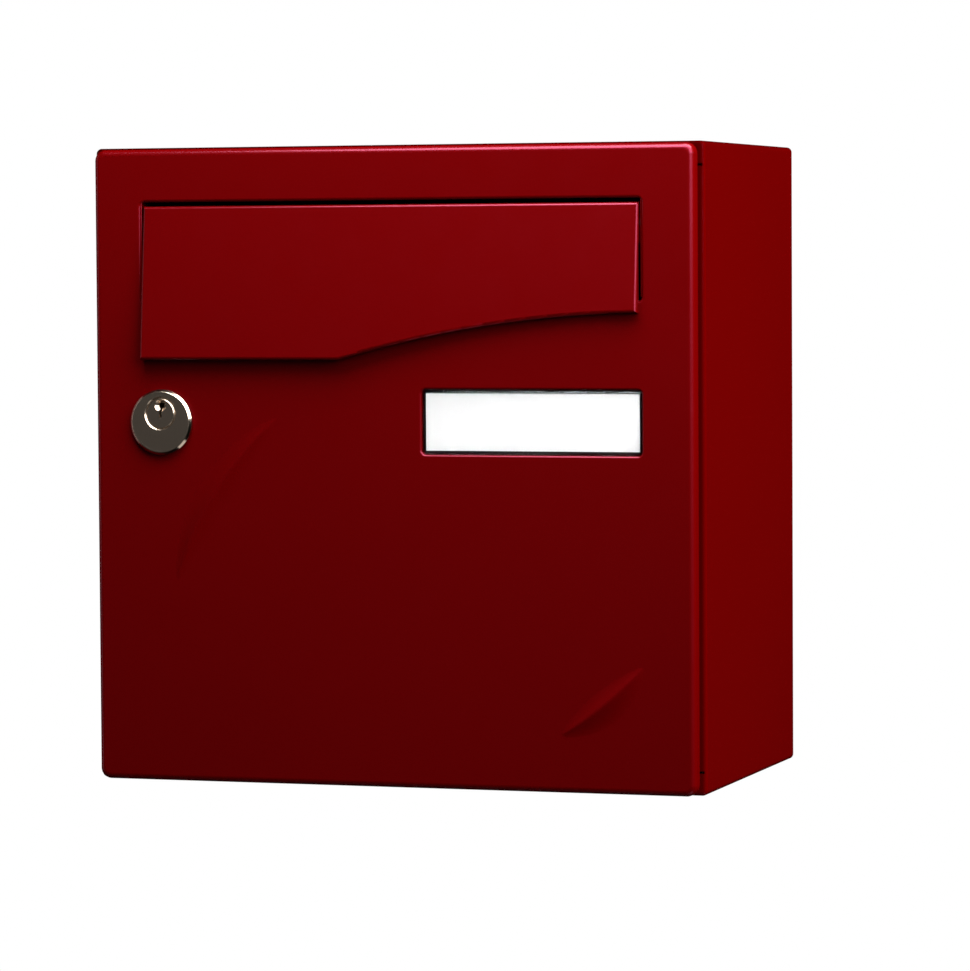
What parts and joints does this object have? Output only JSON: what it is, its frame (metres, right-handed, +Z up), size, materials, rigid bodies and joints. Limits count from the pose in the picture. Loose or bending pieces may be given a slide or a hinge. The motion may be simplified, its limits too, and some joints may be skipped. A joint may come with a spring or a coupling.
{
  "type": "wall letter box",
  "caption": "Wall-hung folded sheet letter box with a lift-off hinged front door, a waved outward-opening letter flap, a clear name plate window and a quarter-turn cam lock.",
  "frame": {"origin": "middle of the four-hole wall fixing, on the outer face of the back panel", "axes": "+X to the right seen from the front, +Y back into the wall, +Z up"},
  "size_m": [0.3, 0.1764, 0.3],
  "materials": {
    "red_paint": "satin ruby red powder coat",
    "zinc_plate": "zinc plated",
    "bright_steel": "bright drawn",
    "spring_steel": "phosphated",
    "nylon": "black",
    "buffer_rubber": "matt",
    "clear_plastic": "clear moulded",
    "white_card": "plain",
    "dark_plastic": "fine grain",
    "lock_nickel": "satin nickel plate with a polished bevel"
  },
  "bodies": {
    "casing": {"casing_wrap": "red_paint", "back_panel": "red_paint", "hinge_bracket_top": "zinc_plate", "hinge_bracket_bottom": "zinc_plate", "hinge_washer_top": "nylon", "hinge_washer_bottom": "nylon", "lock_keeper": "zinc_plate", "door_buffers": "buffer_rubber"},
    "door": {"door": "red_paint", "hinge_tab_top": "zinc_plate", "hinge_tab_bottom": "zinc_plate", "hinge_pin_top": "bright_steel", "hinge_pin_bottom": "bright_steel", "flap_rod": "bright_steel", "rod_clip_left": "spring_steel", "rod_clip_right": "spring_steel", "name_window": "clear_plastic", "name_card": "white_card", "name_backing": "dark_plastic", "name_nuts": "spring_steel", "lock_housing": "lock_nickel", "lock_clip": "spring_steel"},
    "flap": {"flap": "red_paint", "flap_bush_left": "nylon", "flap_bush_right": "nylon"},
    "lock_core": {"lock_plug": "lock_nickel", "lock_cam": "zinc_plate", "cam_washer": "spring_steel", "cam_screw": "bright_steel"}
  },
  "joints": [
    {"name": "door_hinge", "type": "hinge", "parent": "casing", "child": "door", "pos_m": [0.1434, -0.1659, 0], "axis": [0, 0, 1], "range_deg": [0, 110]},
    {"name": "flap_hinge", "type": "hinge", "parent": "door", "child": "flap", "pos_m": [0, -0.1645, 0.1125], "axis": [-1, 0, 0], "range_deg": [0, 80]},
    {"name": "lock_turn", "type": "hinge", "parent": "door", "child": "lock_core", "pos_m": [-0.1132, -0.17, 0.0247], "axis": [0, 1, 0], "range_deg": [0, 90]}
  ]
}
